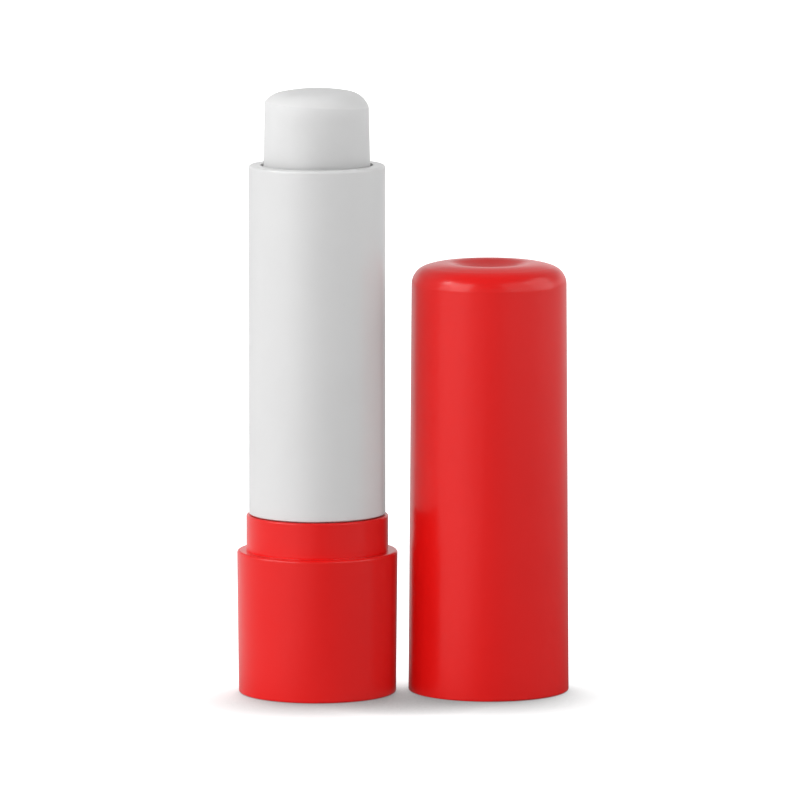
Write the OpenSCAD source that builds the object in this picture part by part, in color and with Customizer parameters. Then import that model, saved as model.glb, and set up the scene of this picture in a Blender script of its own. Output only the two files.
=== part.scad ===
// Twist-up lip balm stick, with its cap taken off and stood beside it.
// Millimetres. The stick's axis is Z, and the underside of its base is Z = 0.

/* [Tube] */
// Outer diameter of the white tube
tube_d = 16.64; // [13.8:0.02:20]
// Length of the tube above the collar
tube_show = 42.7; // [35.4:0.1:52]
// Wall of the tube
tube_wall = 1.47; // [1.22:0.01:1.8]
// Rounding of the tube's rim
tube_rim_r = 0.3; // [0.1:0.05:0.5]
// Rounding of the tube's lower edge, above the collar
tube_foot_r = 0.15; // [0.1:0.05:0.25]
// How far the neck inside the collar is set in from the tube's outside
neck_step = 0.62; // [0.5:0.01:0.75]
// Length of the neck below the tube's shoulder
neck_l = 12.8; // [10.6:0.1:15.4]
// Rounding of the neck's lower end
neck_end_r = 0.3; // [0.1:0.05:0.4]
// Height of the snap bead's middle above the end of the neck
bead_z = 3.8; // [3:0.1:4.6]
// Radius of the snap bead's round
bead_r = 0.5; // [0.4:0.05:0.6]
// How far the snap bead stands out of the neck
bead_out = 0.2; // [0.15:0.01:0.25]
// Number of guide grooves inside the tube
groove_n = 4; // [2:1:6]
// Width of a guide groove
groove_w = 1.6; // [1.3:0.1:1.9]
// Depth of a guide groove
groove_depth = 0.4; // [0.3:0.01:0.5]
// Distance from the rim to the end of the guide grooves
groove_stop = 7.4; // [6.2:0.1:8.9]

/* [Base and collar] */
// Height of the base cup
base_h = 17.5; // [15.6:0.1:21]
// How much narrower the base is at the foot than at the rim, on each side
base_taper = 0.18; // [0:0.01:0.3]
// Width of the ledge that the cap stands on
ledge_w = 1.15; // [0.95:0.01:1.4]
// Rounding of the ledge's outer edge
ledge_r = 0.3; // [0.1:0.05:0.4]
// Rounding of the foot's outer edge
foot_r = 0.25; // [0.1:0.05:0.4]
// Width of the ring that the base stands on
foot_w = 1.3; // [1.1:0.1:1.6]
// Depth of the recess inside that ring
foot_recess = 0.5; // [0.2:0.1:0.6]
// Thickness of the base's floor
floor_t = 1.3; // [1.1:0.1:1.6]
// Rounding of the corner inside the base
cup_r = 0.45; // [0.2:0.05:0.6]
// Wall of the socket outside its splines
socket_wall = 1.45; // [1.2:0.05:1.7]
// Thickness of the ribs inside the base
rib_t = 0.9; // [0.7:0.1:1.1]
// Number of ribs under the collar
rib_n = 6; // [3:1:8]
// How far the webs between ribs and socket stay below the socket's mouth
web_drop = 0.9; // [0.5:0.1:1.5]
// How far a rib keys into the collar
key_h = 1.4; // [1.1:0.1:1.7]
// How far the collar stands proud of the tube, on each side
collar_step = 0.33; // [0.27:0.01:0.4]
// Height of the collar above the ledge
collar_show = 4.4; // [3.7:0.1:5.3]
// How far the collar's buried part is set in, which leaves a shoulder on the ledge
collar_seat = 0.2; // [0.17:0.01:0.25]
// Length of the collar inside the base cup
collar_depth = 8; // [6.7:0.1:9.6]
// Rounding of the collar's top edge
collar_edge_r = 0.2; // [0.1:0.05:0.3]

/* [Spindle] */
// Diameter of the lead screw over its thread
spindle_d = 4; // [3.3:0.1:4.8]
// Diameter of the hub on the screw's foot
hub_d = 7.2; // [6.2:0.1:8.6]
// Height of the hub
hub_h = 2.8; // [2.3:0.1:3.4]
// Thickness of the flange that centres the tube
flange_t = 1.4; // [1.1:0.1:1.7]
// Rounding of the flange's edges
flange_edge_r = 0.3; // [0.1:0.05:0.4]
// Rounding of the screw's tip
screw_tip_r = 0.6; // [0.3:0.1:1]
// Diameter of the drive foot inside its splines
foot_core_d = 4.6; // [3.8:0.1:5.2]
// Height of the drive splines
spline_h = 0.45; // [0.35:0.05:0.55]
// Width of a drive spline
spline_w = 0.7; // [0.5:0.05:0.85]
// Number of drive splines
spline_n = 8; // [6:1:10]
// Length of the drive foot
drive_l = 4.5; // [3.7:0.1:5.4]

/* [Elevator] */
// Height of the elevator's skirt, its plate included
elevator_h = 10; // [8.4:0.1:12]
// Thickness of the elevator's skirt
skirt_t = 0.8; // [0.6:0.05:1]
// Thickness of the plate under the balm
plate_t = 1.2; // [1:0.1:1.5]
// Height of the cup wall around the balm's foot
cup_h = 3; // [2.5:0.1:3.6]
// Thickness of that cup wall
cup_t = 0.56; // [0.45:0.01:0.65]
// Wall of the nut
nut_wall = 1.04; // [0.85:0.01:1.25]
// Length of thread that still holds at the top of the travel
thread_hold = 4.3; // [3.6:0.1:5.2]
// Thickness of the webs between nut and skirt
web_t = 0.8; // [0.6:0.1:1]
// Height of a guide lug
lug_h = 4; // [3.3:0.1:4.8]
// Height of the prongs that hold the balm
prong_h = 6.5; // [5.4:0.1:7.8]
// Thickness of a prong
prong_t = 0.8; // [0.6:0.05:1]
// Angle that a prong spans
prong_angle = 38; // [30:1:46]

/* [Balm] */
// How far the balm's tip stands out of the tube as shown
balm_show = 9.3; // [0:0.05:30]
// How far the tip sinks below the rim when wound right down
balm_sink = 0.6; // [0.3:0.1:2]
// Gap between the balm and the tube, on each side
balm_gap = 0.35; // [0.25:0.01:0.45]
// Length of the tapered nose
nose_l = 10; // [8:0.1:12]
// Taper of the nose on each side, in degrees
nose_draft = 1.17; // [0.5:0.01:2]
// Rounding of the shoulder of the dome
dome_r = 2.9; // [2.4:0.1:3.4]
// Radius of the dome's shallow crown
dome_crown_r = 22.5; // [18:0.5:60]
// Lean of the dome towards -X, in degrees
dome_lean = 0.9; // [0:0.1:2]
// How far the dome lies off the balm's axis, towards -X
dome_shift = 0.26; // [0:0.01:0.3]
// How far the dome's own outline lies outside the nose
dome_over = 0.4; // [0.35:0.01:0.5]
// Angle at which the dome's shoulder ends, in degrees from its top
dome_sweep = 84; // [80:1:86]

/* [Cap] */
// Wall of the cap at its mouth
cap_wall = 1.1; // [0.95:0.01:1.3]
// Draft of the cap's outside, in degrees
cap_draft = 0.42; // [0.2:0.01:0.6]
// Room between the tube's rim and the cap's ceiling
cap_room = 3.2; // [2.7:0.1:4]
// Thickness of the cap's ceiling under the dish
ceiling_t = 1.2; // [1:0.1:1.5]
// Depth of the dish in the cap's top
dish_depth = 1; // [0.8:0.05:1.2]
// Width of the rounded shoulder, from the mouth's outside to the dish's lip
shoulder_w = 4.66; // [3.9:0.01:5.2]
// Radius of the shoulder where it leaves the wall
shoulder_r = 2.3; // [1.9:0.1:2.7]
// Radius of the shoulder where it nears the lip
crown_r = 8.3; // [7:0.1:10]
// Radius of the lip's inner side
lip_r = 2.5; // [2:0.1:3]
// Rounding of the mouth's outer edge
mouth_r = 0.2; // [0.1:0.05:0.3]
// Chamfer inside the mouth
mouth_chamfer = 0.25; // [0.15:0.05:0.35]
// Length of the straight land that grips the collar
land_l = 4.6; // [3.9:0.1:5.5]
// Rounding of the cavity's upper corner
cavity_r = 1.2; // [0.8:0.1:1.6]
// Gap between the cavity's upper end and the tube, on each side
cavity_gap = 0.1; // [0.06:0.01:0.14]
// Number of centring ribs inside the cap
cap_rib_n = 8; // [4:1:12]
// Length of a centring rib
cap_rib_l = 29; // [20:1:32]
// Width of a centring rib
cap_rib_w = 0.7; // [0.5:0.1:1]
// Gap between the cap and the base as they stand side by side
stand_gap = 1.38; // [0.5:0.01:10]
// Direction in which the cap stands, in degrees from +X
stand_angle = 4.1; // [0:0.1:90]

/* [Clearances] */
// Running clearance between tube and collar, on each side
neck_clear = 0.08; // [0.04:0.01:0.1]
// Gap below the tube's shoulder
shoulder_gap = 0.1; // [0.05:0.01:0.15]
// Running clearance of flange and elevator in the tube, on each side
bore_clear = 0.07; // [0.04:0.01:0.1]
// Clearance between screw and nut, on each side
screw_clear = 0.06; // [0.03:0.01:0.1]
// Clearance of the lugs in their grooves
lug_clear = 0.06; // [0.04:0.01:0.08]
// Clearance between the cap's land and the collar, on each side
cap_clear = 0.07; // [0.04:0.01:0.1]
// Clearance of pressed and keyed pieces
press_clear = 0.02; // [0.01:0.01:0.04]
// Gap between the elevator and what it stops on
stop_gap = 0.2; // [0.1:0.05:0.3]

/* [Hidden] */
$fn = 96;
eps = 0.01;
RED = [0.86, 0.17, 0.15];
WHITE = [0.93, 0.93, 0.92];
NATURAL = [0.96, 0.95, 0.90];
WAX = [0.97, 0.97, 0.95];

// Radii, from the tube outwards and inwards
tube_r = tube_d / 2;
bore_r = tube_r - tube_wall;
groove_r = bore_r + groove_depth;
neck_r = tube_r - neck_step;
collar_r = tube_r + collar_step;
collar_bore_r = neck_r + neck_clear;
sleeve_r = collar_r - collar_seat;
cup_bore_r = sleeve_r + press_clear;
rim_r = collar_r + ledge_w;
base_foot_r = rim_r - base_taper;
land_r = collar_r + cap_clear;
cap_r = land_r + cap_wall;
cavity_top_r = tube_r + cavity_gap;
flange_r = bore_r - bore_clear;
elevator_r = bore_r - bore_clear;
screw_r = spindle_d / 2;
nut_r = screw_r + screw_clear;
nut_out_r = nut_r + nut_wall;
balm_r = bore_r - balm_gap;
balm_foot_r = elevator_r - cup_t;

// Heights on the stick
floor_z = foot_recess + floor_t;
socket_z = floor_z + press_clear;
boss_z = socket_z + drive_l;
flange_z = boss_z + hub_h;
low_z = flange_z + flange_t + stop_gap;
collar_z = base_h - collar_depth;
collar_top_z = base_h + collar_show;
shoulder_z = collar_top_z + shoulder_gap;
neck_end_z = shoulder_z - neck_l;
tube_rim_z = shoulder_z + tube_show;
groove_end_z = tube_rim_z - groove_stop;
groove_l = groove_end_z - neck_end_z;
boss_r = foot_core_d / 2 + spline_h + socket_wall;

// Travel of the elevator above its lowest place
lift_shown = balm_show + balm_sink;
lift_max = groove_end_z - stop_gap - lug_h - low_z;
elevator_z = low_z + lift_shown;
screw_top_z = low_z + lift_max + thread_hold;
balm_l = tube_rim_z - balm_sink - (low_z + elevator_h);
balm_hole_l = screw_top_z - low_z - elevator_h + stop_gap;
prong_r = (balm_foot_r + nut_out_r) / 2;
nose_r = balm_r - nose_l * tan(nose_draft);
dome_deep = nose_l + 5;

// The cap, from its mouth upwards
cap_h = collar_show + shoulder_gap + tube_show + cap_room + ceiling_t + dish_depth;
ceiling_z = cap_h - dish_depth - ceiling_t;
crest_r = cap_r - shoulder_w;
stand_d = rim_r + cap_r + stand_gap;
cap_x = stand_d * cos(stand_angle);
cap_y = stand_d * sin(stand_angle);

// Half outline of a tapered body from Z = 0 to h, with its lower and upper edges rounded
module turned(r0, r1, h, low = 0, high = 0) {
    a = atan((r0 - r1) / h);
    low_x = r0 - low * tan(a) - low / cos(a);
    high_x = r0 - (h - high) * tan(a) - high / cos(a);
    lower = low > 0 ? [[low_x, 0], [low_x + low * cos(a), low + low * sin(a)]] : [[r0, 0]];
    upper = high > 0 ? [[high_x + high * cos(a), h - high + high * sin(a)], [high_x, h]] : [[r1, h]];
    polygon(concat([[0, 0]], lower, upper, [[0, h]]));
    if (low > 0) translate([low_x, low]) circle(low);
    if (high > 0) translate([high_x, h - high]) circle(high);
}

// Copies spaced evenly round the axis
module around(n) {
    for (i = [0:n - 1]) rotate([0, 0, 360 * i / n]) children();
}

// Outline of the splined drive foot, or of its socket with a clearance
module spline_outline(clear = 0) {
    circle(foot_core_d / 2 + clear);
    around(spline_n)
        translate([0, -spline_w / 2 - clear])
            square([foot_core_d / 2 + spline_h + clear, spline_w + 2 * clear]);
}

// Red cup that is turned to work the stick
module base_shell() {
    color(RED) {
        rotate_extrude() difference() {
            turned(base_foot_r, rim_r, base_h, foot_r, ledge_r);
            translate([0, floor_z]) turned(cup_bore_r, cup_bore_r, base_h, cup_r);
            translate([0, -eps]) square([base_foot_r - foot_w, foot_recess + eps]);
        }
        // Splined socket for the screw's foot
        difference() {
            translate([0, 0, floor_z - eps]) cylinder(r = boss_r, h = boss_z - floor_z + eps);
            translate([0, 0, socket_z]) linear_extrude(drive_l + 1) spline_outline(press_clear);
        }
        // Webs from the socket to the wall, which carry the ribs under the collar
        around(rib_n) {
            translate([boss_r - rib_t / 2, -rib_t / 2, floor_z - eps])
                cube([cup_bore_r - boss_r + rib_t, rib_t, boss_z - web_drop - floor_z + eps]);
            translate([collar_bore_r + neck_clear, -rib_t / 2, floor_z - eps])
                cube([cup_bore_r - collar_bore_r, rib_t, collar_z + key_h - floor_z + eps]);
        }
    }
}

// Red sleeve pressed into the cup: the tube's neck snaps into it, and the cap grips it
module collar() {
    color(RED) difference() {
        rotate_extrude() difference() {
            union() {
                translate([0, base_h]) turned(collar_r, collar_r, collar_show, 0, collar_edge_r);
                translate([0, collar_z]) square([sleeve_r, collar_depth]);
            }
            translate([0, collar_z - eps])
                square([collar_bore_r, collar_top_z - collar_z + 2 * eps]);
            bead(neck_clear);
        }
        around(rib_n)
            translate([collar_bore_r - 1, -rib_t / 2 - press_clear, collar_z - eps])
                cube([collar_r - collar_bore_r + 2, rib_t + 2 * press_clear, key_h + stop_gap]);
    }
}

// Round of the snap bead, or of its groove with a clearance
module bead(clear = 0) {
    translate([neck_r + bead_out - bead_r, neck_end_z + bead_z]) circle(bead_r + clear);
}

// Lead screw with its flange and splined foot; its thread fills the rod's diameter
module spindle() {
    color(NATURAL) {
        translate([0, 0, socket_z]) linear_extrude(drive_l) spline_outline();
        rotate_extrude() {
            translate([0, boss_z]) turned(hub_d / 2, hub_d / 2, hub_h + eps);
            translate([0, flange_z]) turned(flange_r, flange_r, flange_t, flange_edge_r, flange_edge_r);
            translate([0, flange_z]) turned(screw_r, screw_r, screw_top_z - flange_z, 0, screw_tip_r);
        }
    }
}

// White tube with a necked foot, a snap bead and guide grooves that stop below the rim
module tube() {
    color(WHITE) difference() {
        rotate_extrude() difference() {
            union() {
                translate([0, shoulder_z]) turned(tube_r, tube_r, tube_show, tube_foot_r, tube_rim_r);
                translate([0, neck_end_z]) turned(neck_r, neck_r, neck_l + eps, neck_end_r);
                bead();
            }
            translate([0, neck_end_z - eps]) square([bore_r, neck_l + tube_show + 2 * eps]);
        }
        translate([0, 0, neck_end_z - eps]) around(groove_n) intersection() {
            translate([0, -groove_w / 2, 0]) cube([groove_r + 1, groove_w, groove_l + eps]);
            cylinder(r = groove_r, h = groove_l + eps);
        }
    }
}

// Carrier that the screw drives up the tube, with guide lugs, nut, cup and prongs
module elevator() {
    plate_z = elevator_h - plate_t;
    color(NATURAL) translate([0, 0, elevator_z]) {
        difference() {
            union() {
                rotate_extrude() difference() {
                    square([elevator_r, elevator_h + cup_h]);
                    translate([0, -eps]) square([elevator_r - skirt_t, plate_z + eps]);
                    translate([0, elevator_h]) square([balm_foot_r, cup_h + eps]);
                }
                cylinder(r = nut_out_r, h = elevator_h);
                around(groove_n) {
                    translate([nut_out_r - web_t / 2, -web_t / 2, lug_h / 2])
                        cube([elevator_r - nut_out_r, web_t, plate_z - lug_h / 2 + eps]);
                    lug();
                }
            }
            translate([0, 0, -eps]) cylinder(r = nut_r, h = elevator_h + 2 * eps);
        }
        translate([0, 0, elevator_h - eps]) prongs();
    }
}

// Guide lug that runs in one of the tube's grooves
module lug() {
    lug_w = groove_w - 2 * lug_clear;
    intersection() {
        translate([elevator_r - skirt_t / 2, -lug_w / 2, 0]) cube([groove_depth + skirt_t, lug_w, lug_h]);
        cylinder(r = groove_r - lug_clear, h = lug_h);
    }
}

// Curved prongs with a barb, which the balm is cast around
module prongs() {
    barb = prong_t / 2;
    around(groove_n)
        rotate([0, 0, 180 / groove_n - prong_angle / 2])
            rotate_extrude(angle = prong_angle)
                polygon([
                    [prong_r, 0],
                    [prong_r + prong_t, 0],
                    [prong_r + prong_t, prong_h - 3 * barb],
                    [prong_r + prong_t + barb, prong_h - 2 * barb],
                    [prong_r + prong_t, prong_h],
                    [prong_r, prong_h]
                ]);
}

// Half outline of the dome that shapes the balm's tip, its top at Z = 0
module dome_outline() {
    // The shoulder's arc lies inside the crown's arc and touches it
    cx = nose_r + dome_over - dome_r;
    cz = sqrt(pow(dome_crown_r - dome_r, 2) - cx * cx) - dome_crown_r;
    touch_x = cx * dome_crown_r / (dome_crown_r - dome_r);
    skirt_z = cz + dome_r * cos(dome_sweep);
    translate([0, -dome_deep]) square([balm_r + 1, dome_deep + skirt_z]);
    translate([cx, cz]) circle(dome_r);
    intersection() {
        translate([0, -dome_crown_r]) circle(dome_crown_r);
        translate([0, -dome_deep]) square([touch_x, dome_deep + 1]);
    }
}

// White balm, cast round the screw and the prongs, with a tapered nose and a leaning dome
module balm() {
    foot_z = elevator_z + elevator_h;
    tip_z = foot_z + balm_l;
    nose_z = tip_z - nose_l;
    color(WAX) difference() {
        intersection() {
            rotate_extrude() {
                translate([0, foot_z]) square([balm_foot_r, balm_l]);
                translate([0, foot_z + cup_h]) square([balm_r, nose_z - foot_z - cup_h]);
                translate([0, nose_z]) turned(balm_r, nose_r, nose_l);
            }
            union() {
                translate([-dome_shift, 0, tip_z])
                    rotate([0, -dome_lean, 0])
                        rotate_extrude() dome_outline();
                translate([0, 0, foot_z - 1]) cylinder(r = balm_r + 1, h = nose_z - foot_z + 1);
            }
        }
        translate([0, 0, foot_z - eps]) cylinder(r = nut_r, h = balm_hole_l + eps);
        translate([0, 0, foot_z - eps]) prongs();
    }
}

// Half outline of the cap's outside, below the dish
module cap_outline() {
    a = cap_draft;
    reach = cap_r - shoulder_r / cos(a) - crest_r - (cap_h - crown_r) * tan(a);
    turn = asin(cos(a) * reach / (crown_r - shoulder_r)) - a;
    crown = [crest_r, cap_h - crown_r];
    shoulder = crown + (crown_r - shoulder_r) * [sin(turn), cos(turn)];
    mouth_x = cap_r - mouth_r * tan(a) - mouth_r / cos(a);
    polygon([
        [0, 0],
        [mouth_x, 0],
        [mouth_x + mouth_r * cos(a), mouth_r + mouth_r * sin(a)],
        shoulder + shoulder_r * [cos(a), sin(a)],
        crown + crown_r * [sin(turn), cos(turn)],
        [crest_r, cap_h],
        [0, cap_h]
    ]);
    translate([mouth_x, mouth_r]) circle(mouth_r);
    translate(shoulder) circle(shoulder_r);
    intersection() {
        translate(crown) circle(crown_r);
        polygon([crown, crown + [0, 2 * crown_r], crown + 2 * crown_r * [tan(turn), 1]]);
    }
}

// Half outline of what is taken off to leave the dish and the inner side of its lip
module dish_outline() {
    span = (crest_r * crest_r + dish_depth * dish_depth) / (2 * dish_depth);
    dish_r = span - lip_r;
    dish_z = cap_h - dish_depth + dish_r;
    lip_x = crest_r * dish_r / span;
    lip_z = dish_z - (span - dish_depth) * dish_r / span;
    intersection() {
        translate([0, dish_z]) circle(dish_r);
        translate([0, cap_h - 2 * dish_depth]) square([lip_x, 2 * dish_depth + 1]);
    }
    difference() {
        translate([lip_x - eps, lip_z]) square([crest_r - lip_x + eps, cap_h + 1 - lip_z]);
        translate([crest_r, cap_h - lip_r]) circle(lip_r);
    }
}

// Half outline of the cap's cavity: chamfer, land, then a taper to the ceiling
module cavity_outline() {
    polygon([
        [0, -eps],
        [land_r + mouth_chamfer, -eps],
        [land_r + mouth_chamfer, 0],
        [land_r, mouth_chamfer],
        [land_r, land_l],
        [0, land_l]
    ]);
    translate([0, land_l]) turned(land_r, cavity_top_r, ceiling_z - land_l, 0, cavity_r);
}

// Red cap with a dished top; a land inside its mouth grips the collar
module cap() {
    rib_r = tube_r + cap_clear;
    color(RED) translate([cap_x, cap_y, 0]) {
        rotate_extrude() difference() {
            cap_outline();
            dish_outline();
            cavity_outline();
        }
        // Ribs that keep the tube in the middle
        around(cap_rib_n)
            translate([rib_r, -cap_rib_w / 2, land_l + cap_rib_w])
                cube([land_r + cap_wall / 2 - rib_r, cap_rib_w, cap_rib_l]);
    }
}

base_shell();
collar();
spindle();
tube();
elevator();
balm();
cap();
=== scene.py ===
"""Looks, floor, light and camera of a twist-up lip balm stick with its cap taken off."""
import math

import bmesh
import bpy
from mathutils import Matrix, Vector


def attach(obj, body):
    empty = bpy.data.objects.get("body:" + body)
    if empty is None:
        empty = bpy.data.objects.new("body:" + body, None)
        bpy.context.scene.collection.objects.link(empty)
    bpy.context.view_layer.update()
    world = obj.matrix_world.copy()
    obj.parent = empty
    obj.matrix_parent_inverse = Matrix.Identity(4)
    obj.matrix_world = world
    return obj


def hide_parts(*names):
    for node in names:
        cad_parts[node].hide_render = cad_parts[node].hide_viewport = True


MM = 0.001

# Camera: far back and slightly above, in millimetres, looking along +Y and down by so many degrees
CAMERA_AT = (10.095, -1000.0, 164.546)
CAMERA_DOWN = 7.3306
CAMERA_CLIP = (0.05, 20.0)
FOCAL_PX = 8275.6
IMAGE_PX = 800
SENSOR = 36.0

# Softboxes round the stick: azimuth (0 is the camera's side, 90 its right), elevation, size in metres, watts
LAMP_AIM = (0.010, 0.0, 0.035)
LAMP_REACH = 1.0
SOFTBOXES = (
    (-75, 22, (0.56, 0.72), 2.7),
    (-45, 22, (0.56, 0.72), 4.6),
    (-80, 37, (0.34, 0.26), 2.2),
    (45, 24, (0.76, 0.88), 2.4),
    (90, 24, (0.76, 0.88), 3.9),
)

# Fill from above and behind, which no surface mirrors
FILL_LIGHTS = (
    (180, 80, (0.40, 0.30), 0.8),
    (180, 20, (0.80, 0.60), 2.4),
)

# World: the fill that it gives, how bright it looks overhead, and the heights between which it fades to that
WORLD_LIGHT = 0.12
OVERHEAD = 0.5
SKY_FADE = (0.15, 0.40)

# Floor: its own colour and gloss, how bright it looks on top of that, and how much of that a mirror shows
FLOOR_SIZE = 8.0
FLOOR_ALBEDO = 0.6
FLOOR_ROUGHNESS = 0.9
FLOOR_GLOSS = 0.1
FLOOR_GLOW = 0.9
FLOOR_MIRRORED = 0.35

# Painted shadow on the floor, made by ambient occlusion: its reach, its depth, and the direction, back and
# up, it samples round
PAINTED_SHADOW_REACH = 0.015
PAINTED_SHADOW_DEPTH = 1.5
PAINTED_SHADOW_NORMAL = (0.0, 0.97, 0.24)

# Painted shade on the floor's mirror image: darkest beside the cap, brighter with the distance and towards
# the left
MIRROR_DARKEST = 0.15
MIRROR_REACH = (0.03, 0.50)
MIRROR_LEFT = (0.025, -0.03)

# Noise values between which a surface goes from its one colour to its other
RAMP_SPAN = (0.3, 0.7)

# Meshes: steps in a turn and in a corner, the angle from which an edge stays sharp, the gap that is welded
TURN_STEPS = 64
CORNER_STEPS = 4
SHARP_ANGLE = math.radians(40)
WELD_GAP = 1e-8

# Thread of the hidden lead screw, left-hand, fading out at both ends. Sizes from here on are in millimetres
LEAD = 3.0
STARTS = 2
CORE_R = 1.55
CREST_R = 2.0
THREAD_Z = (10.9, 56.9)
THREAD_FADE = 1.0
PITCH_ROWS = 16

# Shares of the pitch at which the thread starts to rise and to fall, and which one flank takes
RISE_AT = 0.30
FALL_AT = 0.74
FLANK = 0.18

# The screw's plain tip, flange and hub. A disc of the end radius closes the tip and the hub
TIP_Z = 57.4
TIP_END_R = 0.3
TIP_ROUNDING = 0.45
FLANGE_R = 6.78
FLANGE_Z = (9.12, 10.52)
FLANGE_ROUNDING = 0.25
HUB_R = 3.6
HUB_Z = 6.32
HUB_END_R = 0.4

# The screw's splined foot, which reaches a little way into the hub
FOOT_Z = 1.82
FOOT_CORE_R = 2.3
FOOT_CHAMFER = 0.2
FOOT_OVERLAP = 0.2
GAP_STEPS = 5

# Splines: number, height, width, and the shares of that width which the root and the crest take
SPLINES = 8
SPLINE_H = 0.45
SPLINE_W = 0.7
SPLINE_ROOT = 1.15
SPLINE_CREST = 0.85
SPLINE_FILLET = 0.05
SPLINE_CHAMFER = 0.06

# Nut in the elevator: its bore, and where its thread lies as a share of the screw's pitch
NUT_Z = (20.9, 30.3)
NUT_R = 2.06
NUT_PHASE = 0.11

# Ridge of the nut's thread: offset and radius of its foot, sunk in the wall, of its flank and its crest
RIDGE_SINK = 0.03
RIDGE_EASE = 0.05
RIDGE_FOOT = (-0.34, NUT_R + RIDGE_SINK)
RIDGE_FLANK = (-0.30, NUT_R - RIDGE_EASE)
RIDGE_CREST = (-0.13, 1.64)

# The ridge fades over so many steps at both ends, down to a low end face
RIDGE_FADE_STEPS = 12
RIDGE_LEAST = 0.05


def grey(value):
    return (value, value, value, 1)


def math_node(tree, operation, first, second):
    """A Math node on two inputs, each a socket or a number."""
    node = tree.nodes.new("ShaderNodeMath")
    node.operation = operation
    for socket, value in zip(node.inputs, (first, second)):
        if isinstance(value, float):
            socket.default_value = value
        else:
            tree.links.new(value, socket)
    return node.outputs[0]


def map_range(tree, source, span=(0.0, 1.0), to=(0.0, 1.0), smooth=False):
    """Carries the source from one span over to another."""
    node = tree.nodes.new("ShaderNodeMapRange")
    if smooth:
        node.interpolation_type = "SMOOTHSTEP"
    node.inputs["From Min"].default_value, node.inputs["From Max"].default_value = span
    node.inputs["To Min"].default_value, node.inputs["To Max"].default_value = to
    tree.links.new(source, node.inputs["Value"])
    return node.outputs["Result"]


class Look:
    """A Principled material whose nodes are added one call at a time."""

    def __init__(self, name):
        self.material = bpy.data.materials.new(name)
        self.material.use_nodes = True
        self.tree = self.material.node_tree
        self.shader = self.tree.nodes["Principled BSDF"]
        self.coords = self.tree.nodes.new("ShaderNodeTexCoord").outputs["Object"]

    def set(self, **values):
        for name, value in values.items():
            self.shader.inputs[name.replace("_", " ")].default_value = value

    def link(self, source, target):
        self.tree.links.new(source, target)

    def noise(self, scale, detail):
        """Noise with so many cells per metre, in so many layers."""
        node = self.tree.nodes.new("ShaderNodeTexNoise")
        node.inputs["Scale"].default_value = scale
        node.inputs["Detail"].default_value = detail
        self.link(self.coords, node.inputs["Vector"])
        return node.outputs["Fac"]

    def colour(self, noise, low, high):
        node = self.tree.nodes.new("ShaderNodeValToRGB")
        for element, position, colour in zip(node.color_ramp.elements, RAMP_SPAN, (low, high)):
            element.position = position
            element.color = colour
        self.link(noise, node.inputs["Fac"])
        self.link(node.outputs["Color"], self.shader.inputs["Base Color"])

    def roughness(self, noise, low, high):
        self.link(map_range(self.tree, noise, to=(low, high)), self.shader.inputs["Roughness"])

    def bump(self, *layers):
        """Layers of (noise, depth in metres)."""
        normal = None
        for noise, depth in layers:
            node = self.tree.nodes.new("ShaderNodeBump")
            node.inputs["Strength"].default_value = 1.0
            node.inputs["Distance"].default_value = depth
            self.link(noise, node.inputs["Height"])
            if normal:
                self.link(normal, node.inputs["Normal"])
            normal = node.outputs["Normal"]
        self.link(normal, self.shader.inputs["Normal"])


def red_plastic():
    look = Look("red_plastic")
    look.colour(look.noise(90, 3), (0.78, 0.0055, 0.0045, 1), (0.81, 0.007, 0.006, 1))
    look.roughness(look.noise(700, 5), 0.31, 0.36)
    look.set(IOR=1.33, Coat_Weight=0.3, Coat_Roughness=0.13, Coat_IOR=1.4)
    look.bump((look.noise(1500, 2), 6e-7), (look.noise(160, 2), 1.0e-5))
    return look.material


def white_plastic():
    look = Look("white_plastic")
    look.colour(look.noise(80, 3), grey(0.71), grey(0.735))
    look.roughness(look.noise(700, 5), 0.26, 0.32)
    look.set(IOR=1.5, Subsurface_Weight=0.15, Subsurface_Scale=0.001, Subsurface_Radius=(1.0, 1.0, 1.0))
    look.bump((look.noise(1400, 2), 8e-7), (look.noise(150, 2), 1.0e-5))
    return look.material


def natural_plastic():
    look = Look("natural_plastic")
    look.colour(look.noise(120, 3), (0.74, 0.735, 0.70, 1), (0.80, 0.795, 0.76, 1))
    look.roughness(look.noise(600, 5), 0.42, 0.52)
    look.set(IOR=1.5, Subsurface_Weight=0.3, Subsurface_Scale=0.001)
    look.bump((look.noise(1800, 2), 4e-6))
    return look.material


def balm_wax():
    look = Look("balm")
    look.colour(look.noise(140, 5), grey(0.695), grey(0.735))
    look.roughness(look.noise(500, 5), 0.40, 0.52)
    look.set(IOR=1.36, Subsurface_Weight=1.0, Subsurface_Scale=0.006, Subsurface_Radius=(1.0, 1.0, 1.0))
    look.bump((look.noise(900, 3), 6e-6), (look.noise(120, 2), 3e-5))
    return look.material


def mesh_piece(name, build, material, body):
    """A piece whose mesh is filled by build(bm), smooth but for its sharp edges, riding on a body."""
    mesh = bpy.data.meshes.new(name)
    bm = bmesh.new()
    build(bm)
    bmesh.ops.remove_doubles(bm, verts=bm.verts, dist=WELD_GAP)
    bmesh.ops.recalc_face_normals(bm, faces=bm.faces)
    bm.to_mesh(mesh)
    bm.free()
    mesh.shade_smooth()
    mesh.set_sharp_from_angle(angle=SHARP_ANGLE)
    mesh.materials.append(material)
    piece = bpy.data.objects.new(name, mesh)
    bpy.context.scene.collection.objects.link(piece)
    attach(piece, body)
    return piece


def turned_vert(bm, angle, radius, height):
    """A vertex from cylinder coordinates in radians and millimetres."""
    return bm.verts.new((radius * math.cos(angle) * MM, radius * math.sin(angle) * MM, height * MM))


def bridge(bm, low, high, closed=True):
    """Quads between two rows of vertices."""
    count = len(low)
    for i in range(count if closed else count - 1):
        j = (i + 1) % count
        bm.faces.new((low[i], low[j], high[j], high[i]))


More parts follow.
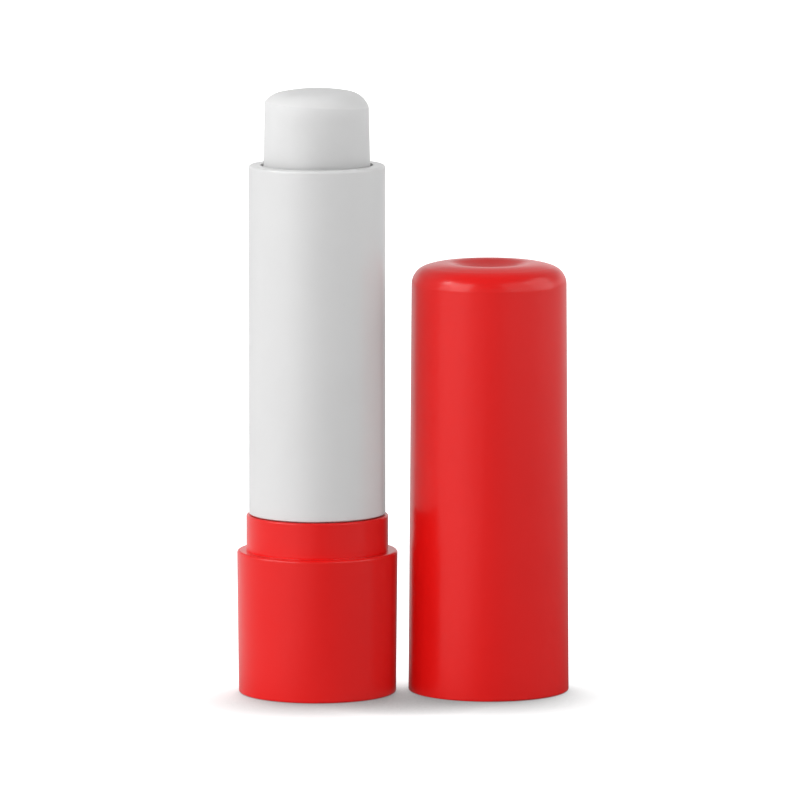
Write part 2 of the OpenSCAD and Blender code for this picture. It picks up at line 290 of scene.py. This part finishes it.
def lathe(bm, outline, closed_below=False, closed_above=False):
    """Turns an outline of (radius, height) round the Z axis."""
    angles = [2 * math.pi * i / TURN_STEPS for i in range(TURN_STEPS)]
    rings = [[turned_vert(bm, a, radius, height) for a in angles] for radius, height in outline]
    for low, high in zip(rings, rings[1:]):
        bridge(bm, low, high)
    if closed_below:
        bm.faces.new(rings[0])
    if closed_above:
        bm.faces.new(rings[-1])


def rounded(points, radius):
    """The outline with a small arc in place of each corner between its two ends."""
    out = [points[0]]
    for before, corner, after in zip(points, points[1:], points[2:]):
        a, b, c = Vector(before), Vector(corner), Vector(after)
        reach = min(radius, (a - b).length / 2, (c - b).length / 2)
        start = b + (a - b).normalized() * reach
        end = b + (c - b).normalized() * reach
        for i in range(CORNER_STEPS + 1):
            t = i / CORNER_STEPS
            out.append(tuple(start.lerp(b, t).lerp(b.lerp(end, t), t)))
    out.append(points[-1])
    return out


def both_sides(half):
    """A profile of (offset, radius) from its half: the half, then its mirror image backwards."""
    return half + tuple((-offset, radius) for offset, radius in reversed(half))


def smooth_step(x):
    x = min(max(x, 0.0), 1.0)
    return x * x * (3 - 2 * x)


def crest_share(share):
    """Height of the thread, 0 to 1, at a share of its pitch: root, flank, crest, flank."""
    return smooth_step((share - RISE_AT) / FLANK) - smooth_step((share - FALL_AT) / FLANK)


def screw_thread(bm):
    """The threaded length, whose columns run up the screw and start lower as they go round it."""
    low, high = THREAD_Z
    step = LEAD / STARTS / PITCH_ROWS
    rows = range(int((high - low + LEAD) / step) + 2)
    columns = []
    for i in range(TURN_STEPS + 1):
        turn = i / TURN_STEPS
        column = []
        for row in rows:
            height = low + row * step - LEAD * turn
            fade = smooth_step((height - low) / THREAD_FADE) * smooth_step((high - height) / THREAD_FADE)
            radius = CORE_R + (CREST_R - CORE_R) * fade * crest_share(row % PITCH_ROWS / PITCH_ROWS)
            column.append(turned_vert(bm, 2 * math.pi * turn, radius, min(max(height, low), high)))
        columns.append(column)
    for left, right in zip(columns, columns[1:]):
        bridge(bm, left, right, closed=False)


def drive_foot(bm):
    """Splined foot with a chamfer that leads it into its socket."""
    root, crest = FOOT_CORE_R, FOOT_CORE_R + SPLINE_H
    half = math.asin(SPLINE_W / 2 / crest)
    pitch = 2 * math.pi / SPLINES
    gap = pitch - 2 * SPLINE_ROOT * half
    spline = both_sides((
        (-SPLINE_ROOT, root),
        (-1.0, root + SPLINE_FILLET),
        (-1.0, crest - SPLINE_CHAMFER),
        (-SPLINE_CREST, crest),
    ))
    outline = []
    for i in range(SPLINES):
        middle = i * pitch
        edge = middle + SPLINE_ROOT * half
        outline += [(middle + share * half, radius) for share, radius in spline]
        outline += [(edge + gap * step / GAP_STEPS, root) for step in range(1, GAP_STEPS)]
    rings = []
    for height, inset in (
        (FOOT_Z, FOOT_CHAMFER),
        (FOOT_Z + FOOT_CHAMFER, 0.0),
        (HUB_Z + FOOT_OVERLAP, 0.0),
    ):
        rings.append([turned_vert(bm, angle, radius - inset, height) for angle, radius in outline])
    bridge(bm, rings[0], rings[1])
    bridge(bm, rings[1], rings[2])
    bm.faces.new(rings[0])
    bm.faces.new(rings[2])


def lead_screw(bm):
    """Splined foot, hub, flange and threaded rod."""
    drive_foot(bm)
    low, high = FLANGE_Z
    hub = [
        (HUB_END_R, HUB_Z),
        (HUB_R, HUB_Z),
        (HUB_R, low),
        (FLANGE_R, low),
        (FLANGE_R, high),
        (CORE_R, high),
        (CORE_R, THREAD_Z[0]),
    ]
    lathe(bm, rounded(hub, FLANGE_ROUNDING), closed_below=True)
    screw_thread(bm)
    tip = [(CORE_R, THREAD_Z[1]), (CORE_R, TIP_Z), (TIP_END_R, TIP_Z)]
    lathe(bm, rounded(tip, TIP_ROUNDING), closed_above=True)


def nut_thread(bm):
    """Ridges inside the elevator's nut, one for each start of the screw's thread."""
    low, high = NUT_Z
    pitch = LEAD / STARTS
    root = THREAD_Z[0] + pitch * NUT_PHASE
    foot_r = RIDGE_FOOT[1]
    ridge = both_sides((RIDGE_FOOT, RIDGE_FLANK, RIDGE_CREST))
    first = math.floor((high - root) / pitch)
    for start in range(STARTS):
        top = root + pitch * (first - start)
        count = int((top - low) / LEAD * TURN_STEPS)
        sections = []
        for i in range(count + 1):
            turn = i / TURN_STEPS
            fade = max(smooth_step(min(i, count - i) / RIDGE_FADE_STEPS), RIDGE_LEAST)
            middle = top - LEAD * turn
            section = []
            for offset, radius in ridge:
                kept = foot_r + (radius - foot_r) * fade
                section.append(turned_vert(bm, 2 * math.pi * turn, kept, middle + offset))
            sections.append(section)
        for before, after in zip(sections, sections[1:]):
            bridge(bm, before, after)
        bm.faces.new(sections[0])
        bm.faces.new(sections[-1])


def stage_screw(natural):
    """The screw with its thread, in place of the plain one, and the thread of the nut that it turns in."""
    screw = mesh_piece("lead_screw", lead_screw, natural, "base")
    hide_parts("spindle")
    mesh_piece("nut_thread", nut_thread, natural, "elevator")


def seen_directly(tree, seen, mirrored):
    """seen for what the camera sees, mirrored for what it sees in a reflection, and 0 for other light."""
    rays = tree.nodes.new("ShaderNodeLightPath").outputs
    direct = math_node(tree, "MULTIPLY", rays["Is Camera Ray"], seen)
    reflected = math_node(tree, "MULTIPLY", rays["Is Glossy Ray"], mirrored)
    through = math_node(tree, "MULTIPLY", rays["Is Transmission Ray"], seen)
    return math_node(tree, "MAXIMUM", math_node(tree, "MAXIMUM", direct, reflected), through)


def painted_floor_shadow(tree):
    """Painted shadow from ambient occlusion: 1 in the open, darker in front of the stick, as under a broad
    light from above and behind.
    """
    shadow_normal = tree.nodes.new("ShaderNodeCombineXYZ")
    for socket, value in zip(shadow_normal.inputs, PAINTED_SHADOW_NORMAL):
        socket.default_value = value
    open_air = tree.nodes.new("ShaderNodeAmbientOcclusion")
    open_air.inputs["Distance"].default_value = PAINTED_SHADOW_REACH
    tree.links.new(shadow_normal.outputs[0], open_air.inputs["Normal"])
    return math_node(tree, "POWER", open_air.outputs["AO"], PAINTED_SHADOW_DEPTH)


def painted_mirror_shade(tree):
    """Painted shade in the floor's mirror image: how bright the floor is where it is mirrored, as a share of
    its full brightness.
    """
    place = tree.nodes.new("ShaderNodeTexCoord").outputs["Object"]
    split = tree.nodes.new("ShaderNodeSeparateXYZ")
    tree.links.new(place, split.inputs[0])
    reach = tree.nodes.new("ShaderNodeVectorMath")
    reach.operation = "LENGTH"
    tree.links.new(place, reach.inputs[0])
    far = map_range(tree, reach.outputs["Value"], MIRROR_REACH, (MIRROR_DARKEST, 1.0))
    return math_node(tree, "MAXIMUM", far, map_range(tree, split.outputs["X"], MIRROR_LEFT))


def floor_colour(tree, painted_shade, share):
    """The floor's own colour: with the painted shadow for the camera, the painted mirror shade in a mirror,
    and plain for other light.
    """
    rays = tree.nodes.new("ShaderNodeLightPath").outputs
    direct = math_node(tree, "MULTIPLY", rays["Is Camera Ray"], painted_shade)
    reflected = math_node(tree, "MULTIPLY", rays["Is Glossy Ray"], share)
    indirect = math_node(tree, "SUBTRACT", 1.0, rays["Is Camera Ray"])
    other = math_node(tree, "SUBTRACT", indirect, rays["Is Glossy Ray"])
    lit = math_node(tree, "MAXIMUM", math_node(tree, "MAXIMUM", direct, reflected), other)
    tint = tree.nodes.new("ShaderNodeValToRGB")
    tint.color_ramp.elements[1].color = grey(FLOOR_ALBEDO)
    tree.links.new(lit, tint.inputs["Fac"])
    return tint.outputs["Color"]


def floor_glow(tree, painted_shade, share):
    """Brings the floor up to white for the camera, less under the painted shadow, and part of the way in a
    mirror, less where its mirror image is painted darker.
    """
    glow = tree.nodes.new("ShaderNodeEmission")
    shaded = math_node(tree, "MULTIPLY", painted_shade, FLOOR_GLOW)
    mirrored = math_node(tree, "MULTIPLY", share, FLOOR_GLOW * FLOOR_MIRRORED)
    tree.links.new(seen_directly(tree, shaded, mirrored), glow.inputs["Strength"])
    return glow.outputs[0]


def pale_floor():
    material = bpy.data.materials.new("pale_floor")
    material.use_nodes = True
    tree = material.node_tree
    # The painted shadow for the camera, and the painted darker mirror image beside the cap
    painted_shade, share = painted_floor_shadow(tree), painted_mirror_shade(tree)
    shader = tree.nodes["Principled BSDF"]
    tree.links.new(floor_colour(tree, painted_shade, share), shader.inputs["Base Color"])
    shader.inputs["Roughness"].default_value = FLOOR_ROUGHNESS
    shader.inputs["Specular IOR Level"].default_value = FLOOR_GLOSS
    both = tree.nodes.new("ShaderNodeAddShader")
    tree.links.new(shader.outputs[0], both.inputs[0])
    tree.links.new(floor_glow(tree, painted_shade, share), both.inputs[1])
    tree.links.new(both.outputs[0], tree.nodes["Material Output"].inputs["Surface"])
    return material


def stage_floor():
    """A pale floor with a painted soft shadow and a mirror image painted darker beside the cap."""
    bpy.ops.mesh.primitive_plane_add(size=FLOOR_SIZE)
    floor = bpy.context.object
    floor.name = "floor"
    floor.data.materials.append(pale_floor())


def stage_world():
    """White round the horizon where it is seen, darker overhead, and a faint fill otherwise."""
    world = bpy.data.worlds.new("studio")
    bpy.context.scene.world = world
    world.use_nodes = True
    tree = world.node_tree
    split = tree.nodes.new("ShaderNodeSeparateXYZ")
    tree.links.new(tree.nodes.new("ShaderNodeTexCoord").outputs["Generated"], split.inputs[0])
    sky = map_range(tree, split.outputs["Z"], SKY_FADE, (1.0, OVERHEAD), smooth=True)
    back = tree.nodes["Background"]
    back.inputs["Color"].default_value = grey(1)
    strength = math_node(tree, "MAXIMUM", seen_directly(tree, sky, sky), WORLD_LIGHT)
    tree.links.new(strength, back.inputs["Strength"])


def soft_light(azimuth, elevation, size, watts, mirrored=True):
    """A softbox that faces the stick."""
    a, e = math.radians(azimuth), math.radians(elevation)
    away = Vector((math.sin(a) * math.cos(e), -math.cos(a) * math.cos(e), math.sin(e)))
    data = bpy.data.lights.new("softbox", "AREA")
    data.shape = "RECTANGLE"
    data.size, data.size_y = size
    data.energy = watts
    lamp = bpy.data.objects.new("softbox", data)
    lamp.location = Vector(LAMP_AIM) + away * LAMP_REACH
    lamp.rotation_euler = away.to_track_quat("Z", "Y").to_euler()
    lamp.visible_glossy = mirrored
    bpy.context.scene.collection.objects.link(lamp)


def stage_camera():
    data = bpy.data.cameras.new("camera")
    data.sensor_width = SENSOR
    data.lens = FOCAL_PX * SENSOR / IMAGE_PX
    data.clip_start, data.clip_end = CAMERA_CLIP
    camera = bpy.data.objects.new("camera", data)
    camera.location = [v * MM for v in CAMERA_AT]
    camera.rotation_euler = (math.radians(90 - CAMERA_DOWN), 0, 0)
    bpy.context.scene.collection.objects.link(camera)
    bpy.context.scene.camera = camera


def dress(nodes):
    """Gives each CAD node its material, and keeps the cap from tinting the white tube beside it."""
    red, natural = red_plastic(), natural_plastic()
    finish = {
        "base_shell": red,
        "collar": red,
        "cap": red,
        "tube": white_plastic(),
        "elevator": natural,
        "balm": balm_wax(),
    }
    for name, material in finish.items():
        for slot in nodes[name].material_slots:
            slot.material = material
    nodes["cap"].visible_diffuse = False
    stage_screw(natural)


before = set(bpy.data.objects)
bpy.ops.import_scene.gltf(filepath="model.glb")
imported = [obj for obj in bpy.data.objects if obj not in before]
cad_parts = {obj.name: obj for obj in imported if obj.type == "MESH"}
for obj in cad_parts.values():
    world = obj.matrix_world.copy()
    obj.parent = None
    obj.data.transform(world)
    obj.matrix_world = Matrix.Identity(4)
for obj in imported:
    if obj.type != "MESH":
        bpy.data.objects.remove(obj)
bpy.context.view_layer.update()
bpy.context.scene.view_settings.view_transform = "Standard"
dress(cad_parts)
stage_floor()
stage_world()
for softbox in SOFTBOXES:
    soft_light(*softbox)
for fill in FILL_LIGHTS:
    soft_light(*fill, mirrored=False)
stage_camera()
